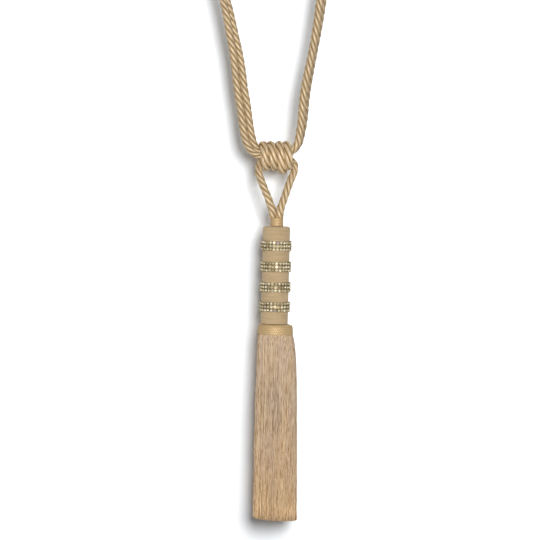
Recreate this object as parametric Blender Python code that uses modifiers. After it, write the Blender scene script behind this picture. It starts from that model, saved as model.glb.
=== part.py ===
"""Curtain tieback: a doubled cord loop, a wound cord knot and a long tassel with stone bands.

The tables are in millimetres and the model is in metres. +Z is up and -Y is the side that shows.
The origin is where a hook bears, on the inner side of the top of the cord loop. Tables for the
cords give heights above the middle of the knot, and tables for the tassel give drops below the
top of its head, square to a head that leans a little.
"""
import math
import random

import bmesh
import bpy
import numpy as np
from mathutils import Matrix, Vector

MM = 0.001
FIT_GAP = 0.3
CURVE_POINTS = 16
EDGE_ANGLE = math.radians(40.0)

# The rope: four strands laid to the left, so they run from upper left to lower right.
CORD_RADIUS = 3.85
CORE_RADIUS = 3.3
LEG_END_RADIUS = 3.15
STRANDS = 4
LAY = 28.0
GROOVE_SHARE = 0.8
EMBRACE_STEP = 4.0
HANGER_STEP = 3.1
END_LEAD = 0.4

# Places of the main pieces.
HOOK_ABOVE_KNOT = 317.0
HEAD_TOP = (1.25, 0.0, -70.2)
TASSEL_LEAN = math.radians(1.5)

# The knot: one cord wound round the embrace cords, from the back over the top to the front.
KNOT_WIND_RADIUS = 11.35
KNOT_CORD_RADIUS = 3.75
KNOT_PITCH = 7.85
KNOT_START_X = -14.3
KNOT_TURNS = 3.77
KNOT_UPRIGHT_FROM = 3.5
KNOT_UPRIGHT_SHARE = 0.2
KNOT_END_RADIUS = 3.2
KNOT_TAPER_TURNS = 0.12
KNOT_POINTS_PER_TURN = 40
LOOSE_BIGHT_AT = 2.75
LOOSE_BIGHT_DROP = 3.6
LOOSE_BIGHT_WIDTH = 0.11
KNOT_STEP = 3.0

# The tassel's turned pieces.
NECK_RADIUS = 6.5
NECK_WAIST = 0.35
NECK_WAIST_AT = 0.55
NECK_HEIGHT = 8.5
NECK_TOP_EDGE = (0.4, 0.8)
NECK_FOOT_EDGE = (0.1, 0.7)
NECK_SEGMENTS = 24
HEAD_RADIUS = 13.6
HEAD_LENGTH = 97.4
HEAD_SHOULDER = 2.6
HEAD_FOOT_EDGE = 0.8
HEAD_SEGMENTS = 40
BAND_DROPS = (19.5, 40.3, 60.6, 80.3)
BAND_HEIGHT = 10.5
BAND_ROWS = 3
BAND_STONES = 24
BAND_BED = 0.5
STONE_RISE = 0.75
BAND_TURN = 0.7
COLLAR_THICKNESS = 0.9
COLLAR_HEIGHT = 11.0
COLLAR_TOP_RADIUS = 14.0
COLLAR_FOOT_RADIUS = 17.4
COLLAR_SHIFT = 0.5
COLLAR_CROWN = 0.35
COLLAR_SEGMENTS = 40
BACKING_SHORTER = 1.6

# The skirt's outer form: drop below the head's top, radius, and how far its middle has swung
# to the right of the leaning axis, because the threads hang plumb.
SKIRT_FORM = (
    # drop, radius, swing
    (104.5, 14.7, 0.5),
    (108.9, 15.7, 0.6),
    (112.5, 17.7, 1.5),
    (122.0, 18.9, 2.2),
    (140.0, 20.1, 3.2),
    (170.0, 20.8, 4.0),
    (224.0, 21.4, 5.0),
    (294.0, 22.1, 6.0),
)
HEM_SLOPE = 0.055
HEM_RAGGED = 0.8
LOCK_FILL = 0.41
LOCK_SWAY = 0.18
LOCK_SEED = 7

# Rings of locks from the outside in, with the rows of the form that each one bends at.
LOCK_RINGS = (
    # locks, share of the form's radius, rows bent at
    (64, 0.965, (0, 1, 2, 4, 7)),
    (48, 0.83, (0, 1, 2, 7)),
    (34, 0.67, (0, 7)),
    (24, 0.49, (0, 7)),
    (14, 0.30, (0, 7)),
    (5, 0.11, (0, 7)),
)

# The two embrace cords lie side by side as a pair. Each row is a point of the pair's middle
# line, with how far the pair has turned from side by side (0) to one behind the other (90),
# and the cords' radius, which the knot squeezes.
PAIR_ROUTE = (
    # x, y, height, turn, radius
    (1.4, -0.5, 1.9, 75, CORE_RADIUS),
    (-4.0, -0.8, 1.8, 68, CORE_RADIUS),
    (-10.0, -1.0, 1.7, 62, CORE_RADIUS),
    (-15.5, -1.2, 2.2, 55, 3.4),
    (-20.0, -1.2, 4.4, 42, 3.55),
    (-24.0, -1.0, 10.0, 28, 3.75),
    (-26.8, -0.6, 17.5, 14, CORD_RADIUS),
    (-29.3, -0.3, 31.0, 4, CORD_RADIUS),
    (-31.8, 0.0, 50.0, 2, CORD_RADIUS),
    (-34.7, 0.0, 67.0, 4, CORD_RADIUS),
    (-36.8, 0.0, 85.0, 18, CORD_RADIUS),
    (-39.2, 0.0, 102.0, 34, CORD_RADIUS),
    (-42.9, 0.0, 120.0, 44, CORD_RADIUS),
    (-47.4, 0.0, 143.0, 56, CORD_RADIUS),
    (-52.0, 0.0, 162.0, 64, CORD_RADIUS),
    (-56.4, 0.0, 183.0, 72, CORD_RADIUS),
    (-59.0, 0.0, 210.0, 82, CORD_RADIUS),
    (-58.0, 0.0, 240.0, 89, CORD_RADIUS),
    (-51.5, 0.0, 270.0, 90, CORD_RADIUS),
    (-39.5, 0.0, 296.0, 90, CORD_RADIUS),
    (-21.5, 0.0, 314.5, 90, CORD_RADIUS),
    (0.0, 0.0, 320.85, 90, CORD_RADIUS),
    (21.0, 0.0, 313.5, 91, CORD_RADIUS),
    (37.5, 0.0, 294.0, 94, CORD_RADIUS),
    (47.8, 0.0, 267.0, 99, CORD_RADIUS),
    (52.0, 0.0, 238.0, 104, CORD_RADIUS),
    (52.0, 0.0, 208.0, 109, CORD_RADIUS),
    (49.4, 0.0, 180.0, 113, CORD_RADIUS),
    (45.4, 0.0, 153.0, 115, CORD_RADIUS),
    (41.6, 0.0, 127.0, 108, CORD_RADIUS),
    (37.0, 0.0, 102.0, 105, CORD_RADIUS),
    (32.2, 0.0, 78.0, 111, CORD_RADIUS),
    (28.9, 0.0, 57.0, 114, CORD_RADIUS),
    (26.9, 0.0, 35.0, 110, CORD_RADIUS),
    (24.6, 0.0, 20.5, 104, CORD_RADIUS),
    (22.7, 0.0, 13.0, 99, CORD_RADIUS),
    (19.8, 0.0, 8.2, 96, 3.75),
    (16.0, 0.0, 4.6, 93, 3.55),
    (12.0, 0.0, 2.6, 91, 3.35),
    (8.0, 0.0, 2.0, 90, CORE_RADIUS),
    (4.5, -0.3, 1.95, 82, CORE_RADIUS),
    (1.4, -0.5, 1.9, 75, CORE_RADIUS),
)

# The left leg of the hanger runs on from the start of the winding, down to the neck.
LEFT_LEG_ROUTE = (
    # x, y, height, radius
    (-14.33, 11.35, -0.3, KNOT_CORD_RADIUS),
    (-14.6, 11.3, -2.6, KNOT_CORD_RADIUS),
    (-15.3, 9.7, -6.2, KNOT_CORD_RADIUS),
    (-16.3, 7.4, -9.8, CORD_RADIUS),
    (-16.9, 5.2, -13.4, CORD_RADIUS),
    (-16.6, 3.2, -18.0, CORD_RADIUS),
    (-14.6, 1.6, -24.0, CORD_RADIUS),
    (-12.3, 0.6, -30.0, CORD_RADIUS),
    (-9.8, 0.2, -36.0, CORD_RADIUS),
    (-7.3, 0.0, -42.0, CORD_RADIUS),
    (-5.4, 0.0, -48.0, CORD_RADIUS),
    (-3.7, 0.0, -54.0, 3.7),
    (-2.6, 0.0, -58.5, 3.35),
    (-2.4, 0.0, -61.15, LEG_END_RADIUS),
)

# The right leg starts inside the knot, under the embrace cords, and leaves it at the right.
RIGHT_LEG_ROUTE = (
    # x, y, height, radius
    (0.5, 0.7, -4.0, CORE_RADIUS),
    (6.0, 0.2, -4.0, CORE_RADIUS),
    (11.0, 0.1, -4.05, CORE_RADIUS),
    (15.2, 1.2, -4.5, CORE_RADIUS),
    (18.3, 3.4, -6.6, 3.4),
    (19.4, 5.2, -10.2, 3.5),
    (18.8, 5.2, -14.5, 3.7),
    (17.4, 3.6, -19.0, CORD_RADIUS),
    (15.1, 1.9, -24.0, CORD_RADIUS),
    (12.9, 0.8, -30.0, CORD_RADIUS),
    (10.8, 0.2, -36.0, CORD_RADIUS),
    (8.8, 0.0, -42.0, CORD_RADIUS),
    (6.7, 0.0, -48.0, CORD_RADIUS),
    (5.2, 0.0, -54.0, 3.7),
    (4.5, 0.0, -58.5, 3.35),
    (4.35, 0.0, -61.15, LEG_END_RADIUS),
)

ROPE_COLOUR = (0.60, 0.44, 0.23)
HEAD_COLOUR = (0.54, 0.39, 0.22)
STONE_COLOUR = (0.62, 0.58, 0.42)
COLLAR_COLOUR = (0.50, 0.33, 0.15)
SKIRT_COLOUR = (0.58, 0.43, 0.28)


def smooth_rows(rows):
    """Rows of a smooth curve through the given rows, whose first three columns are a point."""
    rows = [np.array(row, dtype=float) for row in rows]
    rows = [2.0 * rows[0] - rows[1], *rows, 2.0 * rows[-1] - rows[-2]]
    dense = []
    for first, start, end, last in zip(rows, rows[1:], rows[2:], rows[3:]):
        knots = [0.0]
        for near, far in ((first, start), (start, end), (end, last)):
            knots.append(knots[-1] + math.sqrt(np.linalg.norm(far[:3] - near[:3])))
        for step in range(CURVE_POINTS):
            t = knots[1] + (knots[2] - knots[1]) * step / CURVE_POINTS
            level = [first, start, end, last]
            for width in (1, 2, 3):
                blended = []
                for i in range(4 - width):
                    low, high = (knots[1], knots[2]) if width == 3 else (knots[i], knots[i + width])
                    share = (t - low) / (high - low)
                    blended.append(level[i] * (1.0 - share) + level[i + 1] * share)
                level = blended
            dense.append(level[0])
    dense.append(rows[-2])
    return np.array(dense)


def even_rows(rows, step):
    """The rows of a curve taken again at even steps along it, with a short lead at each end.

    The leads keep the end faces square to the curve.
    """
    lengths = np.concatenate(([0.0], np.cumsum(np.linalg.norm(np.diff(rows[:, :3], axis=0), axis=1))))
    count = max(2, round(lengths[-1] / step))
    inner = np.linspace(0.0, lengths[-1], count + 1)[1:-1]
    wanted = np.concatenate(([0.0, END_LEAD], inner, [lengths[-1] - END_LEAD, lengths[-1]]))
    return np.stack([np.interp(wanted, lengths, column) for column in rows.T], axis=1)


def embrace_rows(side):
    """One cord of the pair: side is 1 for the front cord and -1 for the back one."""
    middle = smooth_rows(PAIR_ROUTE)
    along = np.gradient(middle[:, :3], axis=0)
    along /= np.linalg.norm(along, axis=1)[:, None]
    turn = np.radians(middle[:, 3])
    beside = np.stack((-along[:, 2], np.zeros(len(along)), along[:, 0]), axis=1)
    beside /= np.linalg.norm(beside, axis=1)[:, None]
    front = np.array((0.0, -1.0, 0.0))
    apart = np.cos(turn)[:, None] * beside + np.sin(turn)[:, None] * front
    half = middle[:, 4] + FIT_GAP / 2.0
    points = middle[:, :3] + side * half[:, None] * apart
    rows = np.column_stack((points, middle[:, 4]))
    rows = even_rows(rows, EMBRACE_STEP)
    # The two ends of a cord face each other inside the knot.
    for end, inner in ((0, 1), (-1, -2)):
        toward = rows[inner, :3] - rows[end, :3]
        rows[end, :3] += toward / np.linalg.norm(toward) * FIT_GAP / 2.0
    return rows


def knot_rows():
    """The winding: from the back it rises, goes over the top and down the front."""
    rows = []
    for i in range(round(KNOT_TURNS * KNOT_POINTS_PER_TURN) + 1):
        turn = i / KNOT_POINTS_PER_TURN
        angle = 2.0 * math.pi * turn
        slack = (turn - LOOSE_BIGHT_AT) / LOOSE_BIGHT_WIDTH
        radius = KNOT_WIND_RADIUS + LOOSE_BIGHT_DROP * math.exp(-slack * slack)
        upright = max(0.0, turn - KNOT_UPRIGHT_FROM)
        x = KNOT_START_X + KNOT_PITCH * (turn - upright * (1.0 - KNOT_UPRIGHT_SHARE))
        thin = min(1.0, max(0.0, 1.0 - (KNOT_TURNS - turn) / KNOT_TAPER_TURNS))
        cord = KNOT_CORD_RADIUS + (KNOT_END_RADIUS - KNOT_CORD_RADIUS) * thin
        rows.append((x, radius * math.cos(angle), radius * math.sin(angle), cord))
    return even_rows(np.array(rows), KNOT_STEP)


def material(name, colour, roughness, metallic=0.0):
    """A plain material in the part's own colour."""
    made = bpy.data.materials.new(name)
    made.use_nodes = True
    shader = made.node_tree.nodes["Principled BSDF"]
    shader.inputs["Base Color"].default_value = (*colour, 1.0)
    shader.inputs["Roughness"].default_value = roughness
    shader.inputs["Metallic"].default_value = metallic
    return made


def add(obj, collection, finish=None):
    """Put an object in a collection, with its material."""
    collection.objects.link(obj)
    if finish is not None:
        obj.data.materials.append(finish)
    return obj


def strand_section(guides):
    """The rope's section, a ring with one crest for each strand, of radius one."""
    curve = bpy.data.curves.new("rope_section", "CURVE")
    curve.dimensions = "2D"
    spline = curve.splines.new("POLY")
    corners = 2 * STRANDS
    spline.points.add(corners - 1)
    for i, point in enumerate(spline.points):
        radius = 1.0 if i % 2 == 0 else GROOVE_SHARE
        angle = -2.0 * math.pi * i / corners
        point.co = (radius * math.cos(angle), radius * math.sin(angle), 0.0, 1.0)
    spline.use_cyclic_u = True
    section = bpy.data.objects.new("rope_section", curve)
    section.hide_render = True
    section.display_type = "WIRE"
    guides.objects.link(section)
    return section


def rope(name, rows, section, collection, finish):
    """A twisted rope along rows of x, y, height above the knot and radius."""
    curve = bpy.data.curves.new(name, "CURVE")
    curve.dimensions = "3D"
    curve.twist_mode = "MINIMUM"
    curve.bevel_mode = "OBJECT"
    curve.bevel_object = section
    curve.use_fill_caps = True
    curve.resolution_u = 1
    curve.render_resolution_u = 0
    spline = curve.splines.new("POLY")
    spline.points.add(len(rows) - 1)
    travelled = 0.0
    for i, point in enumerate(spline.points):
        x, y, height, radius = rows[i]
        if i:
            travelled += float(np.linalg.norm(rows[i, :3] - rows[i - 1, :3]))
        point.co = (x * MM, y * MM, (height - HOOK_ABOVE_KNOT) * MM, 1.0)
        point.radius = radius * MM
        point.tilt = -2.0 * math.pi * travelled / LAY
    return add(bpy.data.objects.new(name, curve), collection, finish)


def turned(name, profile, steps, collection, finish, tassel, offset=(0.0, 0.0, 0.0)):
    """A turned piece of the tassel, from a profile of radius and drop that runs top to bottom."""
    bm = bmesh.new()
    verts = [bm.verts.new((radius * MM, 0.0, -drop * MM)) for radius, drop in profile]
    closed = profile[0][0] > 0.0
    for near, far in zip(verts, verts[1:] + (verts[:1] if closed else [])):
        if near is not far:
            bm.edges.new((near, far))
    mesh = bpy.data.meshes.new(name)
    bm.to_mesh(mesh)
    bm.free()
    obj = add(bpy.data.objects.new(name, mesh), collection, finish)
    screw = obj.modifiers.new("turn", "SCREW")
    screw.steps = steps
    screw.render_steps = steps
    screw.use_merge_vertices = True
    screw.merge_threshold = 0.00001
    obj.parent = tassel
    obj.location = Vector(offset) * MM
    return obj


def rounded_shoulder(radius, drop, size, steps, upward):
    """Points of a quarter round between an end face and a side, for a turned profile."""
    points = []
    for i in range(steps + 1):
        angle = 0.5 * math.pi * i / steps
        out, down = (math.sin(angle), math.cos(angle)) if upward else (math.cos(angle), math.sin(angle))
        level = drop + size * (1.0 - down) if upward else drop - size * (1.0 - down)
        points.append((radius - size * (1.0 - out), level))
    return points


def add_neck(collection, finish, tassel):
    """The bound sleeve that holds the legs' ends, a little waisted."""
    top, foot = -NECK_HEIGHT, -FIT_GAP
    in_at_top, down_at_top = NECK_TOP_EDGE
    in_at_foot, up_at_foot = NECK_FOOT_EDGE
    profile = [(0.0, top), (NECK_RADIUS - in_at_top, top), (NECK_RADIUS, top + down_at_top)]
    profile += [(NECK_RADIUS - NECK_WAIST, NECK_WAIST_AT * top), (NECK_RADIUS, foot - up_at_foot)]
    profile += [(NECK_RADIUS - in_at_foot, foot), (0.0, foot)]
    turned("neck_sleeve", profile, NECK_SEGMENTS, collection, finish, tassel)


def add_head(collection, finish, tassel):
    """The thread-wound head with rounded shoulders."""
    profile = [(0.0, 0.0)]
    profile += rounded_shoulder(HEAD_RADIUS, 0.0, HEAD_SHOULDER, 3, True)
    profile += rounded_shoulder(HEAD_RADIUS, HEAD_LENGTH, HEAD_FOOT_EDGE, 1, False)
    profile += [(0.0, HEAD_LENGTH)]
    turned("head", profile, HEAD_SEGMENTS, collection, finish, tassel)


def add_band(number, drop, collection, finish, tassel):
    """A ring of stones: rows of cells on its outer wall, each raised to a point."""
    inner = (HEAD_RADIUS + FIT_GAP) * MM
    outer = inner + BAND_BED * MM
    height = BAND_HEIGHT * MM
    corners = [(inner, -0.5 * height), (inner, 0.5 * height)]
    corners += [(outer, height * (0.5 - row / BAND_ROWS)) for row in range(BAND_ROWS + 1)]
    bm = bmesh.new()
    verts = [bm.verts.new((radius, 0.0, level)) for radius, level in corners]
    edges = [bm.edges.new(pair) for pair in zip(verts, verts[1:] + verts[:1])]
    bmesh.ops.spin(bm, geom=verts + edges, cent=(0.0, 0.0, 0.0), axis=(0.0, 0.0, 1.0),
                   angle=2.0 * math.pi, steps=BAND_STONES, use_merge=True)
    bmesh.ops.recalc_face_normals(bm, faces=bm.faces[:])
    between = 0.5 * (inner + outer)
    cells = [f for f in bm.faces if min(v.co.xy.length for v in f.verts) > between]
    bmesh.ops.poke(bm, faces=cells, offset=STONE_RISE * MM)
    bmesh.ops.rotate(bm, verts=bm.verts[:], matrix=Matrix.Rotation(number * BAND_TURN, 3, "Z"))
    name = f"stone_band_{number}"
    mesh = bpy.data.meshes.new(name)
    bm.to_mesh(mesh)
    bm.free()
    obj = add(bpy.data.objects.new(name, mesh), collection, finish)
    obj.parent = tassel
    obj.location = (0.0, 0.0, -drop * MM)


def add_collar(collection, finish, tassel):
    """The woven collar, a thin flared band round the roots of the skirt."""
    top = HEAD_LENGTH + FIT_GAP
    foot = top + COLLAR_HEIGHT
    mid_radius = 0.5 * (COLLAR_TOP_RADIUS + COLLAR_FOOT_RADIUS) + COLLAR_CROWN
    mid = 0.5 * (top + foot)
    outer = [(COLLAR_TOP_RADIUS, top), (mid_radius, mid), (COLLAR_FOOT_RADIUS, foot)]
    inner = [(radius - COLLAR_THICKNESS, drop) for radius, drop in reversed(outer)]
    shift = (COLLAR_SHIFT, 0.0, 0.0)
    turned("collar", outer + inner, COLLAR_SEGMENTS, collection, finish, tassel, shift)


def form_at(drop):
    """The skirt's radius and swing at a drop."""
    drops, radii, swings = zip(*SKIRT_FORM)
    return np.interp(drop, drops, radii), np.interp(drop, drops, swings)


def lock_rows(ring_share, count, index, bends, rng):
    """One lock of the skirt: rows of a point and a half width, from its root to the hem."""
    angle = 2.0 * math.pi * (index + 0.5 * (count % 3)) / count
    ragged = rng.uniform(-HEM_RAGGED, HEM_RAGGED)
    rows = []
    for bend in bends:
        drop = SKIRT_FORM[bend][0]
        radius, swing = form_at(drop)
        reach = radius * ring_share
        sway = rng.uniform(-LOCK_SWAY, LOCK_SWAY) if bend else 0.0
        x = reach * math.cos(angle) + swing
        y = reach * math.sin(angle)
        if bend == bends[-1]:
            drop += ragged + HEM_SLOPE * (x - swing)
        half = LOCK_FILL * 2.0 * math.pi * reach / count
        rows.append((x + sway * math.sin(angle), y - sway * math.cos(angle), -drop, half))
    return rows


def add_skirt(collection, finish, tassel):
    """The skirt: rings of four-sided locks, fused at their roots into a backing plug."""
    rng = random.Random(LOCK_SEED)
    curve = bpy.data.curves.new("locks", "CURVE")
    curve.dimensions = "3D"
    curve.bevel_depth = 1.0
    curve.bevel_resolution = 0
    curve.use_fill_caps = True
    curve.resolution_u = 1
    curve.render_resolution_u = 0
    for count, share, bends in LOCK_RINGS:
        for index in range(count):
            rows = lock_rows(share, count, index, bends, rng)
            spline = curve.splines.new("POLY")
            spline.points.add(len(rows) - 1)
            for point, (x, y, z, half) in zip(spline.points, rows):
                point.co = (x * MM, y * MM, z * MM, 1.0)
                point.radius = half * MM
    locks = bpy.data.objects.new("locks", curve)
    collection.objects.link(locks)
    bpy.context.view_layer.update()
    graph = bpy.context.evaluated_depsgraph_get()
    lock_mesh = bpy.data.meshes.new_from_object(locks.evaluated_get(graph))
    bpy.data.objects.remove(locks)
    bm = bmesh.new()
    bm.from_mesh(lock_mesh)
    bmesh.ops.remove_doubles(bm, verts=bm.verts[:], dist=0.000001)
    bmesh.ops.recalc_face_normals(bm, faces=bm.faces[:])
    bm.to_mesh(lock_mesh)
    bm.free()

    top = HEAD_LENGTH + FIT_GAP
    height = COLLAR_HEIGHT - BACKING_SHORTER
    clear = COLLAR_THICKNESS + FIT_GAP
    top_radius = COLLAR_TOP_RADIUS - clear
    slope = (COLLAR_FOOT_RADIUS - COLLAR_TOP_RADIUS) / COLLAR_HEIGHT
    middle = Matrix.Translation(Vector((COLLAR_SHIFT, 0.0, -(top + 0.5 * height))) * MM)
    bm = bmesh.new()
    bmesh.ops.create_cone(bm, cap_ends=True, segments=COLLAR_SEGMENTS, matrix=middle, depth=height * MM,
                          radius1=(top_radius + slope * height) * MM, radius2=top_radius * MM)
    mesh = bpy.data.meshes.new("skirt")
    bm.to_mesh(mesh)
    bm.free()
    skirt = add(bpy.data.objects.new("skirt", mesh), collection, finish)
    skirt.parent = tassel
    return skirt, lock_mesh


def fuse_locks(skirt, lock_mesh, cutters):
    """Join the locks to their backing as one body."""
    locks = bpy.data.objects.new("lock_bodies", lock_mesh)
    locks.hide_render = True
    locks.display_type = "WIRE"
    locks.parent = skirt.parent
    cutters.objects.link(locks)
    union = skirt.modifiers.new("roots", "BOOLEAN")
    union.operation = "UNION"
    union.solver = "EXACT"
    union.object = locks


def shade(collection):
    """Smooth the round pieces, and keep their edges."""
    for obj in collection.objects:
        if obj.type == "MESH":
            obj.data.shade_smooth()
            obj.data.set_sharp_from_angle(angle=EDGE_ANGLE)


def main():
    for obj in list(bpy.data.objects):
        bpy.data.objects.remove(obj)
    scene = bpy.context.scene
    pieces = bpy.data.collections.new("curtain_tieback")
    guides = bpy.data.collections.new("guides_and_cutters")
    scene.collection.children.link(pieces)
    scene.collection.children.link(guides)

    rope_finish = material("gold_viscose_rope", ROPE_COLOUR, 0.55)
    head_finish = material("wound_thread", HEAD_COLOUR, 0.75)
    stone_finish = material("cup_chain", STONE_COLOUR, 0.25, 0.6)
    collar_finish = material("woven_braid", COLLAR_COLOUR, 0.5)
    skirt_finish = material("viscose_threads", SKIRT_COLOUR, 0.65)

    section = strand_section(guides)
    rope("embrace_front", embrace_rows(1), section, pieces, rope_finish)
    rope("embrace_back", embrace_rows(-1), section, pieces, rope_finish)
    rope("knot_winding", knot_rows(), section, pieces, rope_finish)
    left = even_rows(smooth_rows(LEFT_LEG_ROUTE), HANGER_STEP)
    right = even_rows(smooth_rows(RIGHT_LEG_ROUTE), HANGER_STEP)
    rope("hanger_left", left, section, pieces, rope_finish)
    rope("hanger_right", right, section, pieces, rope_finish)

    tassel = bpy.data.objects.new("tassel_axis", None)
    x, y, height = HEAD_TOP
    tassel.location = (x * MM, y * MM, (height - HOOK_ABOVE_KNOT) * MM)
    tassel.rotation_euler = (0.0, TASSEL_LEAN, 0.0)
    pieces.objects.link(tassel)

    add_neck(pieces, rope_finish, tassel)
    add_head(pieces, head_finish, tassel)
    for number, drop in enumerate(BAND_DROPS, start=1):
        add_band(number, drop, pieces, stone_finish, tassel)
    add_collar(pieces, collar_finish, tassel)
    skirt, lock_mesh = add_skirt(pieces, skirt_finish, tassel)
    fuse_locks(skirt, lock_mesh, guides)
    shade(pieces)


main()
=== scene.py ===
"""Looks of a curtain tieback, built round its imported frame.

Lengths are metres. +Z is up and -Y is the side that shows. The origin is where a hook bears, on
the inner side of the top of the rope loop. The tassel's pieces are worked out upright, with
drops below the top of its head, and are then leaned as a whole.
"""

import math
import random

import bmesh
import bpy
import numpy as np
from bpy.props import FloatProperty, FloatVectorProperty, IntProperty, PointerProperty
from mathutils import Matrix, Vector


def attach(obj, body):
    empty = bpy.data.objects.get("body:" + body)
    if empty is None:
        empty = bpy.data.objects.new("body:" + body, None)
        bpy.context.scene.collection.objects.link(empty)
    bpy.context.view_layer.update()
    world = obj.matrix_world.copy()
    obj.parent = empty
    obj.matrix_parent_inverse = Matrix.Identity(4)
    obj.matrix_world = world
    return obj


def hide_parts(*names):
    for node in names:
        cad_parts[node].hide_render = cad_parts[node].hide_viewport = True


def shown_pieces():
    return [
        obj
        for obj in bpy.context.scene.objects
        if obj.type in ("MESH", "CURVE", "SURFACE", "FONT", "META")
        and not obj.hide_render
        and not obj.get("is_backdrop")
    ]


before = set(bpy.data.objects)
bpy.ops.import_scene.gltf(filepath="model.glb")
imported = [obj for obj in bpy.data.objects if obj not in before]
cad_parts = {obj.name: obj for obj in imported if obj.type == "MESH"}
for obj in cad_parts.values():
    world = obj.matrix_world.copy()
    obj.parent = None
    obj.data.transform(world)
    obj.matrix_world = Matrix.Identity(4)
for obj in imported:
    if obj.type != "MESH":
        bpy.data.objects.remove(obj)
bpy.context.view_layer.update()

bl_info = {
    "name": "Curtain Tieback",
    "version": (1, 0, 0),
    "blender": (4, 5, 0),
    "location": "View3D > Sidebar > Tieback",
    "description": "Makes a tassel tieback of twisted rope, stone bands and loose threads",
    "category": "Add Mesh",
}

BODY = "root"
# The gap between parts that touch.
FIT_GAP = 0.0003
# Points along each stretch of a smooth curve, and how near points are to be joined.
CURVE_POINTS = 16
MERGE = 0.000001

# The two ropes of the loop as a pair: a point of the pair's middle line, how far the pair has
# turned from side by side (0) to one behind the other (90), and the ropes' radius.
PAIR_ROUTE = (
    # x, y, z, turn, radius
    (0.0014, -0.0005, -0.3151, 75, 0.0033),
    (-0.004, -0.0008, -0.3152, 68, 0.0033),
    (-0.01, -0.001, -0.3153, 62, 0.0033),
    (-0.0155, -0.0012, -0.3148, 55, 0.0034),
    (-0.02, -0.0012, -0.3126, 42, 0.00355),
    (-0.024, -0.001, -0.307, 28, 0.00375),
    (-0.0268, -0.0006, -0.2995, 14, 0.00385),
    (-0.0293, -0.0003, -0.286, 4, 0.00385),
    (-0.0318, 0, -0.267, 2, 0.00385),
    (-0.0347, 0, -0.25, 4, 0.00385),
    (-0.0368, 0, -0.232, 18, 0.00385),
    (-0.0392, 0, -0.215, 34, 0.00385),
    (-0.0429, 0, -0.197, 44, 0.00385),
    (-0.0474, 0, -0.174, 56, 0.00385),
    (-0.052, 0, -0.155, 64, 0.00385),
    (-0.0564, 0, -0.134, 72, 0.00385),
    (-0.059, 0, -0.107, 82, 0.00385),
    (-0.058, 0, -0.077, 89, 0.00385),
    (-0.0515, 0, -0.047, 90, 0.00385),
    (-0.0395, 0, -0.021, 90, 0.00385),
    (-0.0215, 0, -0.0025, 90, 0.00385),
    (0, 0, 0.00385, 90, 0.00385),
    (0.021, 0, -0.0035, 91, 0.00385),
    (0.0375, 0, -0.023, 94, 0.00385),
    (0.0478, 0, -0.05, 99, 0.00385),
    (0.052, 0, -0.079, 104, 0.00385),
    (0.052, 0, -0.109, 109, 0.00385),
    (0.0494, 0, -0.137, 113, 0.00385),
    (0.0454, 0, -0.164, 115, 0.00385),
    (0.0416, 0, -0.19, 108, 0.00385),
    (0.037, 0, -0.215, 105, 0.00385),
    (0.0322, 0, -0.239, 111, 0.00385),
    (0.0289, 0, -0.26, 114, 0.00385),
    (0.0269, 0, -0.282, 110, 0.00385),
    (0.0246, 0, -0.2965, 104, 0.00385),
    (0.0227, 0, -0.304, 99, 0.00385),
    (0.0198, 0, -0.3088, 96, 0.00375),
    (0.016, 0, -0.3124, 93, 0.00355),
    (0.012, 0, -0.3144, 91, 0.00335),
    (0.008, 0, -0.315, 90, 0.0033),
    (0.0045, -0.0003, -0.31505, 82, 0.0033),
    (0.0014, -0.0005, -0.3151, 75, 0.0033),
)

# The left leg of the hanger runs on from the start of the winding, down to the neck.
LEFT_LEG_ROUTE = (
    # x, y, z, radius
    (-0.01433, 0.01135, -0.3173, 0.00375),
    (-0.0146, 0.0113, -0.3196, 0.00375),
    (-0.0153, 0.0097, -0.3232, 0.00375),
    (-0.0163, 0.0074, -0.3268, 0.00385),
    (-0.0169, 0.0052, -0.3304, 0.00385),
    (-0.0166, 0.0032, -0.335, 0.00385),
    (-0.0146, 0.0016, -0.341, 0.00385),
    (-0.0123, 0.0006, -0.347, 0.00385),
    (-0.0098, 0.0002, -0.353, 0.00385),
    (-0.0073, 0, -0.359, 0.00385),
    (-0.0054, 0, -0.365, 0.00395),
    (-0.0031, 0, -0.371, 0.0041),
    (-0.0027, 0, -0.3755, 0.0040),
    (-0.0026, 0, -0.3792, 0.0034),
)

# The right leg starts inside the knot, under the loop's ropes, and leaves it at the right.
RIGHT_LEG_ROUTE = (
    # x, y, z, radius
    (0.0005, 0.0007, -0.321, 0.0033),
    (0.006, 0.0002, -0.321, 0.0033),
    (0.011, 0.0001, -0.32105, 0.0033),
    (0.0152, 0.0012, -0.3215, 0.0033),
    (0.0183, 0.0034, -0.3236, 0.0034),
    (0.0194, 0.0052, -0.3272, 0.0035),
    (0.0188, 0.0052, -0.3315, 0.0037),
    (0.0174, 0.0036, -0.336, 0.00385),
    (0.0151, 0.0019, -0.341, 0.00385),
    (0.0129, 0.0008, -0.347, 0.00385),
    (0.0108, 0.0002, -0.353, 0.00385),
    (0.0088, 0, -0.359, 0.00385),
    (0.0067, 0, -0.365, 0.00395),
    (0.0047, 0, -0.371, 0.0041),
    (0.0043, 0, -0.3755, 0.0040),
    (0.0042, 0, -0.3792, 0.0034),
)

# The knot's winding: from the back it rises, goes over the top and down the front.
KNOT_HEIGHT = -0.317
KNOT_WIND_RADIUS = 0.0110
KNOT_CORD_RADIUS = 0.00412
KNOT_PITCH = 0.00785
KNOT_START_X = -0.0143
KNOT_TURNS = 3.77
KNOT_UPRIGHT_FROM = 3.5
KNOT_UPRIGHT_SHARE = 0.2
KNOT_END_RADIUS = 0.0032
KNOT_TAPER_TURNS = 0.12
KNOT_POINTS_PER_TURN = 40
LOOSE_BIGHT_AT = 2.75
LOOSE_BIGHT_DROP = 0.0036
LOOSE_BIGHT_WIDTH = 0.11

# Real lengths of the ropes, from end to end.
LEFT_LEG_LENGTH = 0.067
RIGHT_LEG_LENGTH = 0.078

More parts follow.
